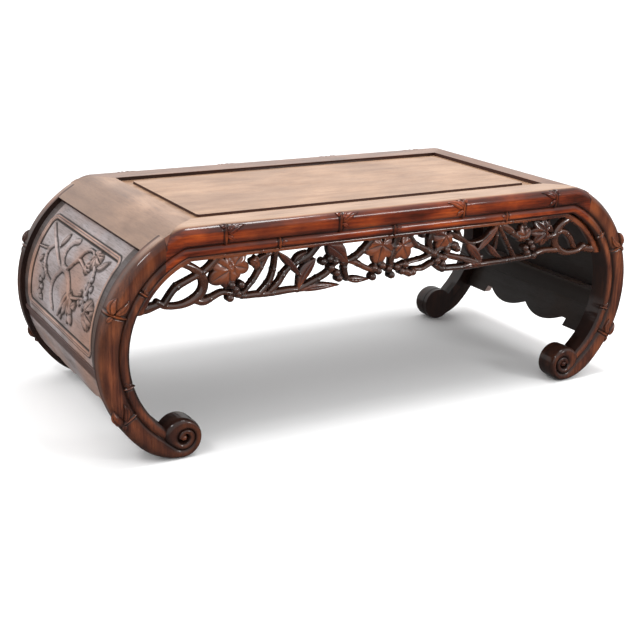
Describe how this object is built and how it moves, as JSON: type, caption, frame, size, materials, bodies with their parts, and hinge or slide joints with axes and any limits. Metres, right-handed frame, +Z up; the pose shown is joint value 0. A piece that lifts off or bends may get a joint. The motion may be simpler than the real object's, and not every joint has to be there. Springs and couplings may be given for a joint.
{
  "type": "kang table",
  "caption": "Low hardwood kang table with waterfall ends, scrolled bamboo-banded legs, pierced vine aprons and a floating top panel.",
  "frame": {"origin": "centre of the footprint, on the floor: the bottom centre of the bounding box", "axes": "+X along the table, +Y to its back, +Z up"},
  "size_m": [0.96, 0.4356, 0.344],
  "materials": {
    "leg_wood": "deep reddish brown hardwood, rubbed lacquer, glossy",
    "rail_wood": "reddish brown hardwood, rubbed lacquer, glossy",
    "top_wood": "worn pinkish brown hardwood with fine grain, satin wax",
    "apron_wood": "dark carved hardwood, waxed, worn reddish on the raised leaves",
    "panel_wood": "greyed brown carved hardwood, satin wax",
    "inner_wood": "dark unpolished hardwood"
  },
  "bodies": {
    "root": {"front_left_leg": "leg_wood", "front_right_leg": "leg_wood", "rear_left_leg": "leg_wood", "rear_right_leg": "leg_wood", "front_top_rail": "rail_wood", "rear_top_rail": "rail_wood", "left_end_board": "top_wood", "right_end_board": "top_wood", "top_panel": "top_wood", "left_panel_batten": "inner_wood", "centre_panel_batten": "inner_wood", "right_panel_batten": "inner_wood", "front_apron": "apron_wood", "rear_apron": "apron_wood", "left_end_panel": "panel_wood", "right_end_panel": "panel_wood", "left_lower_rail": "rail_wood", "right_lower_rail": "rail_wood", "left_end_apron": "panel_wood", "right_end_apron": "panel_wood"}
  },
  "joints": []
}
